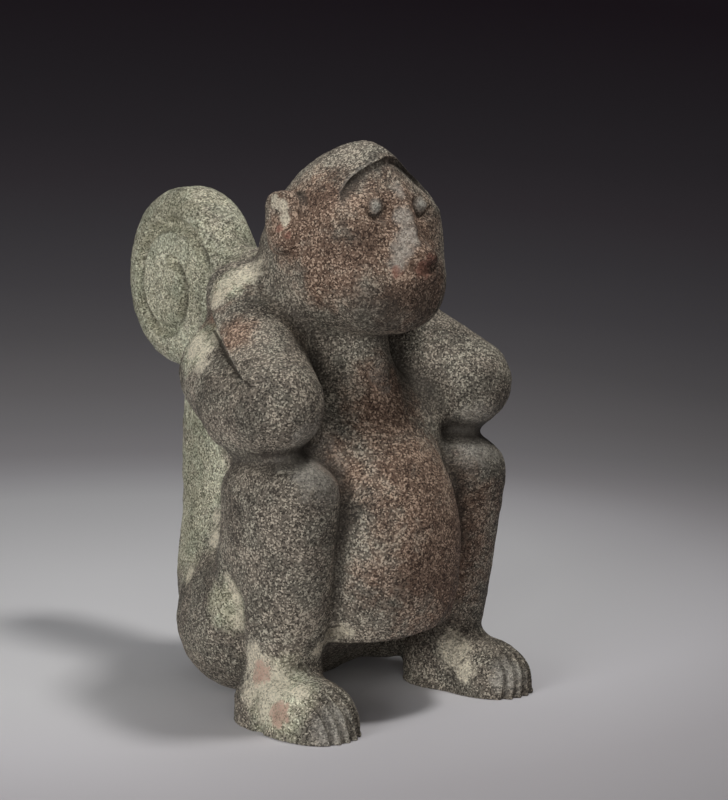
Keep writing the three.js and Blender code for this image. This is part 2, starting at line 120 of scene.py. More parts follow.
torso = {
    'back': dict(at=(0, 87, 154), half=(64, 68, 120), fullness=2.6),
    'neckZ': 248, 'waistZ': 150, 'chestY': 18, 'neckSize': (30, 34), 'waistSize': (52, 54), 'keel': 1.6, 'keelRound': 6,
    'chestBlend': 24,
    'flank': dict(at=(46, 2, 190), half=(26, 20, 24)), 'flankBlend': 30,
    'belly': dict(at=(0, -4, 104), half=(55, 63, 76), fullness=2.5), 'bellyBlend': 42,
    'rump': dict(at=(0, 66, 56), half=(78, 80, 60), fullness=2.3), 'rumpBlend': 46,
    'rimZ': 54, 'rimY': -14, 'rimTurn': 0.12, 'underFall': 0.704, 'rimBlend': 3.5,
}


def chestField(side, y, z):  # comes to a blunt keel at the front
    t, low, high = clamp((z - torso['waistZ']) / (torso['neckZ'] - torso['waistZ']), 0, 1), torso['waistSize'], torso['neckSize']
    wide, deep = low[0] + (high[0] - low[0]) * t, low[1] + (high[1] - low[1]) * t
    u = np.hypot(side, torso['keelRound']) / wide
    v = np.abs(y - torso['chestY']) / deep
    k = (u ** torso['keel'] + v ** torso['keel']) ** (1 / torso['keel'])
    return trim((k - 1) * np.minimum(wide, deep), np.abs(z - (torso['waistZ'] + torso['neckZ']) / 2) - 62, 20)


def torsoField(x, y, z, side):
    t = torso
    stone = melt(mass(x, y, z, **t['back']), chestField(side, y, z), t['chestBlend'])
    stone = melt(stone, mass(side, y, z, **t['flank']), t['flankBlend'])
    stone = melt(stone, mass(x, y, z, **t['belly']), t['bellyBlend'])
    stone = melt(stone, mass(x, y, z, **t['rump']), t['rumpBlend'])
    rim = t['rimZ'] + x * t['rimTurn'] - np.maximum(y - t['rimY'], 0) * t['underFall']
    return trim(stone, (rim - z) / math.hypot(1, t['underFall']), t['rimBlend'])


leg = {
    'ankleZ': 40, 'kneeZ': 160, 'topZ': 180, 'topBlend': 36,
    'middleX': 74, 'lean': 2.5, 'halfWidth': 26, 'widening': 7.5,
    'shinY': -27, 'shinBulge': 23, 'shinCurve': 0.8,
    'calfY': 20, 'calfBulge': 5, 'thighBulge': 18, 'thighLowZ': 76, 'thighHighZ': 112,
    'fullness': 2.3, 'blend': 6,
    'thigh': dict(start=(76, 18, 140), end=(66, 48, 52), radii=(23, 30)),
    'haunch': dict(at=(64, 60, 51), half=(32, 54, 45)), 'haunchBlend': 7, 'thighBlend': 20,
}


def legColumn(side, y, z):  # shin and thigh pressed together
    t = clamp((z - leg['ankleZ']) / (leg['kneeZ'] - leg['ankleZ']), 0, 1)
    front = leg['shinY'] - leg['shinBulge'] * t ** leg['shinCurve']
    thigh = leg['thighBulge'] * ramp(leg['thighLowZ'], leg['thighHighZ'], z)
    rear = leg['calfY'] + leg['calfBulge'] * t + thigh
    halfWidth, halfLength = leg['halfWidth'] + leg['widening'] * t, (rear - front) / 2
    u = np.abs(side - leg['middleX'] - leg['lean'] * t) / halfWidth
    v = np.abs(y - (rear + front) / 2) / halfLength
    k = (u ** leg['fullness'] + v ** leg['fullness']) ** (1 / leg['fullness'])
    return trim((k - 1) * np.minimum(halfWidth, halfLength), z - leg['topZ'], leg['topBlend'])


def addLegs(stone, side, y, z):
    seat = melt(mass(side, y, z, **leg['haunch']), rod(side, y, z, **leg['thigh']), leg['thighBlend'])
    return melt(melt(stone, seat, leg['haunchBlend']), legColumn(side, y, z), leg['blend'])


foot = {
    'sole': dict(at=(80, -27, 3), half=(29, 47, 33), fullness=2.4), 'soleBlend': 10,
    'heel': dict(at=(76, 4, 10), half=(27, 25, 28)), 'heelBlend': 14,
    'toeGrooves': 4, 'firstX': 68.5, 'pitch': 7.6, 'slant': 0.18, 'middleZ': 10,
    'backY': -44, 'frontY': -56, 'topZ': 38, 'fullZ': 24, 'halfWidth': 2.9, 'depth': 2.6,
    'heelCrease': [dict(start=(102, 8, 45), end=(108, -8, 24), radii=(2, 3.2)),
                   dict(start=(108, -8, 24), end=(110, -18, 0), radii=(3.2, 3.8))], 'creaseBlend': 3,
}


def addFeet(stone, side, y, z):
    sole = melt(mass(side, y, z, **foot['sole']), mass(side, y, z, **foot['heel']), foot['heelBlend'])
    stone = melt(stone, sole, foot['soleBlend'])
    for part in foot['heelCrease']:
        stone = trim(stone, -rod(side, y, z, **part), foot['creaseBlend'])
    depth = foot['depth'] * ramp(foot['backY'], foot['frontY'], y) * ramp(foot['topZ'], foot['fullZ'], z)
    for i in range(foot['toeGrooves']):
        middle = foot['firstX'] + foot['pitch'] * i + (z - foot['middleZ']) * foot['slant']
        stone = groove(stone, side - middle, foot['halfWidth'], depth)
    return stone


arm = {
    'upper': dict(start=(66, 60, 224), end=(82, 20, 207), radii=(36, 34)),
    'fore': dict(start=(86, -10, 212), end=(46, 72, 272), radii=(33, 27)),
    'bendBlend': 18, 'blend': 9,
    'creaseY': 30, 'creaseZ': 249.5, 'creaseRise': 0.51, 'creaseEdge': 1.2, 'creaseFade': 22,
    'creaseDepth': 5.5, 'creaseEndY': -24, 'creaseFullY': 12, 'creaseFromX': (62, 74),
}


def addArms(stone, side, y, z):
    bent = melt(rod(side, y, z, **arm['upper']), rod(side, y, z, **arm['fore']), arm['bendBlend'])
    line = arm['creaseZ'] + arm['creaseRise'] * (y - arm['creaseY'])
    below = (line - z) / math.hypot(1, arm['creaseRise'])
    depth = arm['creaseDepth'] * ramp(arm['creaseEndY'], arm['creaseFullY'], y) * ramp(*arm['creaseFromX'], side)
    return melt(stone, bent + depth * ledge(below, arm['creaseEdge'], arm['creaseFade']), arm['blend'])


skull = {
    'at': (0, 12, 300), 'halfWidth': 57, 'halfLength': 76, 'crown': 81, 'jaw': 50, 'lean': 0.25,
    'crownFullness': 1.95, 'jawFullness': 2.4, 'blend': 9,
    'muzzle': dict(at=(0, -32, 286), half=(34, 32, 28)), 'muzzleBlend': 20,
    'nape': dict(start=(42, 58, 264), end=(36, 28, 256), radii=(24, 17)), 'napeBlend': 16,
}


def skullField(x, y, z):
    dz = z - skull['at'][2]
    above = dz > 0
    dy = y - skull['at'][1] + np.where(above, dz * skull['lean'], 0)
    tall = np.where(above, skull['crown'], skull['jaw'])
    full = np.where(above, skull['crownFullness'], skull['jawFullness'])
    around = np.maximum(np.sqrt((x / skull['halfWidth']) ** 2 + (dy / skull['halfLength']) ** 2), 1e-4)
    w = np.abs(dz) / tall
    k = np.maximum((around ** full + w ** full) ** (1 / full), 1e-4)
    across = np.sqrt((x / skull['halfWidth'] ** 2) ** 2 + (dy / skull['halfLength'] ** 2) ** 2) / around
    steepness = np.sqrt((around ** (full - 1) * across) ** 2 + (w ** (full - 1) / tall) ** 2)
    stone = (k - 1) * k ** (full - 1) / np.maximum(steepness, 1e-4)
    return melt(stone, mass(x, y, z, **skull['muzzle']), skull['muzzleBlend'])


face = {
    'y': -38.5, 'z': 330, 'slope': 15, 'cheekRadius': 300,
    'browEdge': 8, 'browZ': 350, 'chinEdge': 20, 'chinZ': 310,
    'roofZ': 374, 'roofY': -27, 'roofSide': 0.75, 'roofBack': 0.45, 'roofBlend': 8,
    'archZ': 330, 'archEndZ': (330, 352), 'archBackY': 10, 'archHalfWidth': 47, 'archRise': 37.5,
    'archFullness': 1.45, 'archEdge': 2.6, 'archFade': 22, 'archDepth': 3.6,
    'noseTopZ': 368, 'noseTipZ': 312, 'noseHeight': (4, 12.5), 'noseHalfWidth': (9, 15), 'noseRound': 2,
    'noseReach': 17, 'noseBackY': -8,
    'noseTipBlend': 3.5, 'noseBlend': 3,
    'snout': dict(at=(3, -37, 295), half=(24, 16, 18)), 'snoutBlend': 12,
    'upperLip': dict(at=(5, -48.5, 303.5), half=(14, 11, 8.5)),
    'lowerLip': dict(at=(5, -48, 292.5), half=(12, 10.5, 5.5)), 'lipBlend': 3, 'mouthBlend': 6,
    'mouth': dict(start=(-3, -60.5, 297.3), end=(20, -55, 298.5), radii=(2.3, 1.9)), 'slitBlend': 2,
    'eyeSocket': dict(at=(20, -37.5, 336), half=(10.6, 5.4, 8.8)), 'socketBlend': 1.5,
    'eyeball': dict(at=(20, -32.6, 336), half=(7, 3, 5.9)), 'eyeballBlend': 1,
    'ear': dict(at=(56, 16, 326), half=(11, 15, 22), fullness=3.2, tilt=6, turn=14), 'earBlend': 3,
    'earHollow': dict(at=(82, 4, 332), radius=17), 'hollowBlend': 8,
}


def headField(x, y, z, side):
    f = face
    slope = math.radians(f['slope'])
    forward = f['y'] - y + x * x / (2 * f['cheekRadius'])
    plane = math.cos(slope) * forward + math.sin(slope) * (z - f['z'])
    edge = f['browEdge'] + (f['chinEdge'] - f['browEdge']) * ramp(f['browZ'], f['chinZ'], z)
    roof = z - f['roofZ'] + f['roofSide'] * side - f['roofBack'] * (y - f['roofY'])
    roof = roof / math.hypot(1, f['roofSide'], f['roofBack'])
    stone = trim(skullField(x, y, z), plane, edge)
    down = ramp(f['noseTopZ'], f['noseTipZ'], z)
    high, wide = (first + (last - first) * down for first, last in (f['noseHeight'], f['noseHalfWidth']))
    nose = (plane - high * (1 - np.hypot(side, f['noseRound']) / wide)) / np.hypot(1, high / wide)
    nose = trim(nose, f['noseTipZ'] - z, f['noseTipBlend'])
    inside = np.maximum(np.maximum(side - f['noseReach'], y - f['noseBackY']), z - f['noseTopZ'])
    stone = melt(stone, trim(nose, inside, f['noseBlend']), f['noseBlend'])
    stone = trim(stone, roof, f['roofBlend'])

    u, w = side / f['archHalfWidth'], np.maximum(z - f['archZ'], 0) / f['archRise']
    arch = (u ** f['archFullness'] + w ** f['archFullness']) ** (1 / f['archFullness']) - 1
    below = -arch * f['archRise']  # mm under the brow's edge
    depth = f['archDepth'] * ramp(*f['archEndZ'], z) * (y < f['archBackY'])
    stone = stone + depth * ledge(below, f['archEdge'], f['archFade'])

    stone = melt(stone, mass(x, y, z, **f['snout']), f['snoutBlend'])
    lips = melt(mass(x, y, z, **f['upperLip']), mass(x, y, z, **f['lowerLip']), f['lipBlend'])
    stone = trim(melt(stone, lips, f['mouthBlend']), -rod(x, y, z, **f['mouth']), f['slitBlend'])
    lug = trim(mass(side, y, z, **f['ear']), -ball(side, y, z, **f['earHollow']), f['hollowBlend'])
    stone = melt(stone, lug, f['earBlend'])
    stone = trim(stone, -mass(side, y, z, **f['eyeSocket']), f['socketBlend'])
    return melt(stone, mass(side, y, z, **f['eyeball']), f['eyeballBlend'])


tail = {
    'root': dict(at=(0, 112, 258), half=(30, 46, 46)), 'rootBlend': 14,
    'coilY': 186, 'coilZ': 278.5, 'halfLength': 61, 'halfHeight': 67, 'halfThickness': 25,
    'rimBlend': 24, 'coilBlend': 12,
    'spiralY': 188, 'spiralZ': 271, 'oval': 0.86, 'tipRadius': 20, 'growth': 0.85, 'turns': 1.4,
    'innerWidth': 5.2, 'outerWidth': 7.5, 'innerDepth': 8, 'outerDepth': 6.5, 'fadeIn': 0.06, 'fadeOut': 0.2,
    'spine': dict(start=(0, 136, 64), end=(0, 146, 230), radii=(20, 24)), 'spineBlend': 10,
}


def spiralDepth(y, z):  # depth of the groove between the turns, in the plane of the coil
    t = tail
    forward, up = (t['spiralY'] - y) / t['oval'], z - t['spiralZ']
    heading = np.arctan2(forward, up) / (2 * math.pi) % 1
    reach, deepest = np.hypot(forward, up), np.zeros_like(heading)
    for turn in range(math.ceil(t['turns'])):
        along = heading + turn
        across = reach - t['tipRadius'] * np.exp(t['growth'] * along)
        share = along / t['turns']
        depth = t['innerDepth'] + (t['outerDepth'] - t['innerDepth']) * share
        depth = depth * ramp(0, t['fadeIn'], along) * ramp(t['turns'], t['turns'] - t['fadeOut'], along)
        halfWidth = t['innerWidth'] + (t['outerWidth'] - t['innerWidth']) * share
        deepest = np.maximum(deepest, groove(0, across, halfWidth, depth))
    return deepest


def coilField(y, z, side):
    u, w = (y - tail['coilY']) / tail['halfLength'], (z - tail['coilZ']) / tail['halfHeight']
    k = np.sqrt(u * u + w * w)
    steepness = np.sqrt((u / tail['halfLength']) ** 2 + (w / tail['halfHeight']) ** 2)
    disc = trim(k * (k - 1) / np.maximum(steepness, 1e-6), side - tail['halfThickness'], tail['rimBlend'])
    return disc + spiralDepth(y, z)


def addTail(stone, x, y, z, side):
    stone = melt(stone, mass(x, y, z, **tail['root']), tail['rootBlend'])
    stone = melt(stone, coilField(y, z, side), tail['coilBlend'])
    return melt(stone, rod(x, y, z, **tail['spine']), tail['spineBlend'])


groundBlend = 2


def stoneField(x, y, z):
    side = np.abs(x)
    stone = addLegs(torsoField(x, y, z, side), side, y, z)
    stone = addArms(addFeet(stone, side, y, z), side, y, z)
    stone = melt(stone, rod(side, y, z, **skull['nape']), skull['napeBlend'])
    stone = melt(stone, headField(x, y, z, side), skull['blend'])
    return trim(addTail(stone, x, y, z, side), -z, groundBlend)


# Relief that the pecking stone and the years left: all of it is taken off, so the stone stays in its box

relief = {
    'seed': 7, 'lattice': 64, 'calmFoot': 3,
    'waves': [(24, 0.9), (9, 0.75), (4.2, 0.6)],  # size and depth in mm
    'rough': {'size': 5.5, 'depth': 2.4},  # where the stone is battered
    'battered': [(-60, 12, 330, 17), (60, 12, 330, 17), (4, -58, 300, 14), (-4, -34, 364, 11), (3, -48, 316, 8)],
    'chips': [(-49, -30, 57, 9, 3.4), (-7, -36, 366, 5, 2.2), (-2, -60, 307, 5, 2), (14, -60, 291, 5, 1.6),
              (-100, -5, 40, 11, 0.9), (-107, -30, 18, 11, 0.9), (-94, 23, 74, 16, 1.3), (-79, 94, 82, 8, 1.6), (-104, -52, 3, 7, 2.5), (48, -62, 50, 9, 1.2),
              (-62, 100, 118, 12, 0.8), (-60, 104, 92, 10, 0.9), (-52, 88, 262, 12, 0.8)],
}


def unevenness(points, size, seed):  # smooth noise from 0 to 1 that repeats only beyond the figure
    count = relief['lattice']
    table = np.random.default_rng(seed).random((count,) * 3, dtype=np.float32)
    at = points / size
    cell = np.floor(at).astype(int)
    t = (at - cell).astype(np.float32)
    t = t * t * (3 - 2 * t)
    total = 0
    for corner in np.ndindex(2, 2, 2):
        weight = np.prod(np.where(corner, t, 1 - t), axis=1)
        total = total + weight * table[tuple(((cell + corner) % count).T)]
    return total


def nearSpot(points, spot):  # 1 at the spot's middle, 0 from its reach on
    away = np.sqrt(((points - np.array(spot[:3], np.float32)) ** 2).sum(1)) / spot[3]
    return ramp(1, 0.2, away)


def roughenSurface(points, normals):
    dent = 0
    for order, (size, depth) in enumerate(relief['waves']):
        dent = dent + depth * unevenness(points, size, relief['seed'] + order)
    rough = relief['rough']
    bumps = unevenness(points, rough['size'], relief['seed'] + len(relief['waves']))
    for spot in relief['battered']:
        dent = dent + nearSpot(points, spot) * rough['depth'] * bumps
    for chip in relief['chips']:
        broken = ramp(0.35, 0.55, nearSpot(points, chip) * (0.6 + 0.8 * bumps))
        dent = dent + broken * chip[4]
    dent = dent + cuts['depth'] * lineMask(points, cuts)
    dent = dent * ramp(0, relief['calmFoot'], points[:, 2])  # the underside stays flat on the ground
    return points - normals * dent[:, None]


# Surface: the field is read in blocks, finer near the surface, and turned into quads

surface = {
    'low': (-125, -84, -6), 'high': (125, 254, 388), 'step': 1.3, 'blocks': (6, 2), 'margin': 1.5,
    'settleReach': 0.15, 'settlePasses': 2, 'sole': 0.25, 'triangles': 196000,
}


def fieldAt(points):
    return stoneField(points[:, 0], points[:, 1], points[:, 2]).astype(np.float32)


def cellOffsets(size):
    return np.stack(np.meshgrid(*[np.arange(size)] * 3, indexing='ij'), -1).reshape(-1, 3)


def readField():
    step, low = surface['step'], np.array(surface['low'], np.float32)
    coarse, middle = surface['blocks']
    counts = np.ceil((np.array(surface['high']) - low) / (step * coarse)).astype(int)
    blocks = np.stack(np.meshgrid(*[np.arange(n) for n in counts], indexing='ij'), -1).reshape(-1, 3) * coarse
    values = np.full(counts * coarse, 9.0, np.float32)
    for size in (coarse, middle):
        distance = fieldAt(low + (blocks + (size - 1) / 2).astype(np.float32) * step)
        reach = size * step * surface['margin']
        inside = blocks[distance < -reach]
        cells = (inside[:, None] + cellOffsets(size)).reshape(-1, 3)
        values[tuple(cells.T)] = -9.0
        near = blocks[np.abs(distance) <= reach]
        smaller = middle if size == coarse else 1
        blocks = (near[:, None] + cellOffsets(size // smaller) * smaller).reshape(-1, 3)
    values[tuple(blocks.T)] = fieldAt(low + blocks.astype(np.float32) * step)
    return values


def slopeAt(points, reach):
    here = fieldAt(points)
    ahead = [fieldAt(points + np.eye(3, dtype=np.float32)[axis] * reach) for axis in range(3)]
    return here, (np.stack(ahead, -1) - here[:, None]) / reach


def carveSurface():
    grid = openvdb.FloatGrid(9.0)
    grid.copyFromArray(readField())
    points, quads = grid.convertToQuads(0.0)
    points = np.array(surface['low'], np.float32) + points * surface['step']
    for _ in range(surface['settlePasses']):
        here, slope = slopeAt(points, surface['settleReach'])
        steepness = np.maximum((slope ** 2).sum(1), 0.3)
        points = points - slope * np.clip(here / steepness, -1, 1)[:, None]
    return points, quads, slope


# Stains, wear and painted light: each is a list of soft spots, [x, y, z, reach] in mm, that the shader breaks up with
# noise. One list is painted shade in the pocket beside the arm and under the jaw, and the worn spots also carry a
# painted sheen.

stains = {
    'pale': [(0, 196, 280, 78), (-62, 96, 196, 34), (-62, 104, 150, 34), (-62, 108, 110, 32), (0, 130, 130, 62),
             (62, 100, 190, 36), (62, 104, 150, 36), (62, 108, 112, 34), (-50, 100, 236, 30), (50, 100, 236, 30),
             (-100, -28, 22, 24), (-95, 26, 74, 18), (-92, 60, 244, 18), (-68, 58, 282, 14)],
    'rust': [(-10, -45, 322, 40), (0, -50, 290, 30), (-44, -2, 330, 30), (0, -30, 205, 30), (22, -50, 110, 58),
             (0, -55, 160, 40), (-50, -30, 168, 18), (-54, 8, 318, 20), (-56, 56, 258, 24), (-50, -20, 300, 26),
             (40, -50, 90, 34), (-98, 20, 262, 16), (8, -60, 299, 20)],
    # Polished spots: smoother, and lighter in colour as a painted sheen on the knees, chest, toes and near side of the
    # nose
    'wornAndSheen': [(-72, -38, 176, 23), (0, -32, 228, 14), (72, -38, 176, 20), (-90, -70, 12, 13), (72, -68, 16, 12),
             (-4, -44, 331, 7), (-5, -50, 319, 8), (-10, -48, 309, 7), (-15, -49, 302, 6),
             (-5, -42, 350, 7)],
    'crust': [(-93, 20, 84, 9), (-92, 18, 66, 8), (-94, 26, 94, 5), (-79, 94, 82, 6), (-66, 79, 124, 5),
              (-70, 75, 110, 6), (-80, 60, 98, 6), (-100, -5, 42, 12), (-101, -22, 29, 14), (-107, -21, 16, 10),
              (-95, -44, 32, 7), (-104, -4, 25, 9), (-51, -26, 56, 6), (-47, -33, 60, 6), (-65, -29, 50, 6),
              (-71, 59, 284, 8), (-62, 55, 290, 9), (-55, 53, 293, 9), (-78, 61, 274, 8), (-95, 61, 245, 10),
              (-97, 48, 243, 7), (-88, 49, 252, 6), (-105, 44, 234, 7), (-66, 16, 341, 5), (-65, 9, 338, 5),
              (-64, 7, 329, 4), (58, -29, 29, 12), (54, -43, 18, 8)],
    'blush': [(-100, -10, 37, 8), (-107, -36, 17, 9)],
    'red': [(-16, -50, 295, 4), (7, -59, 301, 6), (2, -57, 296, 6), (-64, 2, 319, 3), (-66, 10, 323, 3),
            (-72, 64, 262, 7), (-84, -10, 165, 5)],
    # Painted shade: darker colour in the pocket between chest and arm and under the jaw, where shade falls
    'paintedShadeSpots': [(33, -10, 214, 18), (45, -12, 210, 14), (-36, -41, 275, 14), (-21, -48, 271, 14), (8, -52, 270, 14)],
    'clear': [(-19.5, -35, 336.5, 4.9), (19.5, -35, 336.5, 4.9)],
}

veins = {  # thin pale seams of another mineral
    'halfWidth': 0.9,
    'lines': [[(-84, -34, 37), (-74, -48, 36), (-60, -56, 33)],
              [(-25, 168, 313), (-25, 160, 322), (-25, 146, 320), (-22, 132, 312)],
              [(-104, 14, 38), (-107, -6, 24), (-108, -16, 6)]],
}

cuts = {'halfWidth': 0.75, 'depth': 1.6, 'lines': [[(-85, 55, 255), (-90, 43, 250), (-97, 29, 243), (-101, 17, 238), (-106, 4, 232), (-113, -12, 230), (-114, -19, 227)]]}  # sharp grooves, also darkened in colour as painted shade


def spotMask(points, spots):
    mask = np.zeros(len(points), np.float32)
    for x, y, z, reach in spots:
        away = np.sqrt(((points - np.array((x, y, z), np.float32)) ** 2).sum(1)) / reach
        mask = np.maximum(mask, np.clip(1.5 - away, 0, 1))
    return mask


def lineMask(points, kind):
    lines = [pathDistance(*points.T, line) for line in kind['lines']]
    nearest = np.minimum.reduce(lines)
    return ramp(2.2 * kind['halfWidth'], 0.5 * kind['halfWidth'], nearest)


# How closed the surface is around a point; the shader uses it to paint shade into hollows and creases
crevice = {'reaches': ((2.5, 0.6), (6, 0.35), (14, 0.15)), 'edgeReach': 3}  # mm and weight


def creviceMask(points, normals):  # 0 on open stone, 1 where the surface faces itself
    closed = [(1 - np.clip(fieldAt(points + normals * reach) / reach, 0, 1)) * weight
              for reach, weight in crevice['reaches']]
    return np.clip(sum(closed), 0, 1)


def edgeMask(points, normals):
    reach = crevice['edgeReach']
    return np.clip(1 + fieldAt(points - normals * reach) / reach, 0, 1)


# Shader building

def addNode(tree, kind, inputs=None, **settings):
    node = tree.nodes.new(kind)
    for name, value in settings.items():
        setattr(node, name, value)
    for socket, value in (inputs or {}).items():
        setSocket(tree, node.inputs[socket], value)
    return node


def setSocket(tree, socket, value):
    if isinstance(value, bpy.types.NodeSocket):
        tree.links.new(value, socket)
    elif socket.type == 'RGBA' and len(value) == 3:
        socket.default_value = (*value, 1)
    else:
        socket.default_value = value


def mixColour(tree, factor, a, b, kind='MIX'):
    node = addNode(tree, 'ShaderNodeMix', data_type='RGBA', blend_type=kind)
    for index, value in zip((0, 6, 7), (factor, a, b)):  # the colour sockets of the Mix node
        setSocket(tree, node.inputs[index], value)
    return node.outputs[2]


def maths(tree, kind, a, b=0.0, c=0.0, clampIt=False):
    node = addNode(tree, 'ShaderNodeMath', {0: a, 1: b, 2: c}, operation=kind, use_clamp=clampIt)
    return node.outputs[0]


def noise(tree, vector, size, detail=2.0, roughness=0.5, distortion=0.0):
    perSize = maths(tree, 'DIVIDE', 1.0, size) if isinstance(size, bpy.types.NodeSocket) else 1 / size
    return addNode(tree, 'ShaderNodeTexNoise', {
        'Vector': vector, 'Scale': perSize, 'Detail': detail, 'Roughness': roughness, 'Distortion': distortion,
    }).outputs['Fac']


def step(tree, value, low, high):
    return addNode(tree, 'ShaderNodeMapRange', {0: value, 1: low, 2: high, 3: 0.0, 4: 1.0},
                   interpolation_type='SMOOTHSTEP').outputs[0]


def newGroup(name, inputs, outputs):
    group = bpy.data.node_groups.new(name, 'ShaderNodeTree')
    for socket, kind in inputs.items():
        group.interface.new_socket(socket, in_out='INPUT', socket_type=kind)
    for socket, kind in outputs.items():
        group.interface.new_socket(socket, in_out='OUTPUT', socket_type=kind)
    return group, group.nodes.new('NodeGroupInput').outputs, group.nodes.new('NodeGroupOutput').inputs


def useGroup(tree, kind, **inputs):
    node = tree.nodes.new('ShaderNodeGroup')
    node.node_tree = kind
    for socket, value in inputs.items():
        setSocket(tree, node.inputs[socket], value)
    return node.outputs


number, colourKind, vectorKind = 'NodeSocketFloat', 'NodeSocketColor', 'NodeSocketVector'


def makePatchGroup():  # a soft mask whose border is broken up by noise of Size mm
    group, given, result = newGroup(
        'brokenPatch', {'Vector': vectorKind, 'Mask': number, 'Size': number, 'Crispness': number}, {'Patch': number})
    cloud = noise(group, given['Vector'], given['Size'], 5.0, 0.66, 0.3)
    lifted = maths(group, 'MULTIPLY_ADD', maths(group, 'SUBTRACT', cloud, 0.5), 2.2, given['Mask'])
    sharp = maths(group, 'MULTIPLY_ADD', maths(group, 'SUBTRACT', lifted, 0.5), given['Crispness'], 0.5, True)
    shown = maths(group, 'MULTIPLY', sharp, step(group, given['Mask'], 0.0, 0.3))
    group.links.new(shown, result['Patch'])
    return group


def makeGrainGroup():  # ground stone with pecked pits and light crystals of about Size mm; Lean adds light ones
    group, given, result = newGroup(
        'crystalGrain',
        {'Vector': vectorKind, 'Size': number, 'Lean': number, 'Dark': colourKind, 'Middle': colourKind, 'Light': colourKind},
        {'Colour': colourKind, 'Light': number})
    perSize = maths(group, 'DIVIDE', 1.0, given['Size'])
    cells = addNode(group, 'ShaderNodeTexVoronoi', {'Vector': given['Vector'], 'Scale': perSize}).outputs['Color']
    crystal = addNode(group, 'ShaderNodeSeparateColor', {0: cells}).outputs[0]
    shade = noise(group, given['Vector'], maths(group, 'MULTIPLY', given['Size'], 3.5), 3.0, 0.6)
    leaning = maths(group, 'MULTIPLY_ADD', maths(group, 'SUBTRACT', shade, 0.5), 0.9, given['Lean'])
    level = maths(group, 'ADD', crystal, maths(group, 'MULTIPLY', leaning, 0.6), 0.0, True)
    lower = mixColour(group, step(group, level, 0.05, 0.42), given['Dark'], given['Middle'])
    group.links.new(mixColour(group, step(group, level, 0.58, 0.98), lower, given['Light']), result['Colour'])
    group.links.new(level, result['Light'])
    return group


stoneLook = {
    'grainSize': 1.0, 'fineSize': 0.8,
    'brown': ((0.050, 0.041, 0.032), (0.180, 0.154, 0.122), (0.58, 0.51, 0.405)),  # pits, ground and light crystals
    'green': ((0.150, 0.143, 0.096), (0.46, 0.44, 0.318), (0.90, 0.865, 0.67)),
    'rust': (1.08, 0.74, 0.62), 'cold': (0.94, 0.985, 0.99), 'cloudSize': 34.0,
    'crust': (0.80, 0.725, 0.565), 'blush': (0.56, 0.36, 0.28), 'red': (0.34, 0.14, 0.10),
    # The polish colour is a painted sheen for the worn spots
    'vein': (0.78, 0.75, 0.64), 'polishAndSheen': (0.50, 0.475, 0.415), 'eye': (0.66, 0.645, 0.57),
    # Next a painted shade for hollows, creases and the shade spots, then a pale colour for convex edges, partly edge
    # wear and partly painted highlight
    'paintedShade': (0.040, 0.032, 0.025), 'rim': (0.42, 0.40, 0.355),
    'roughness': (0.80, 0.60),
}


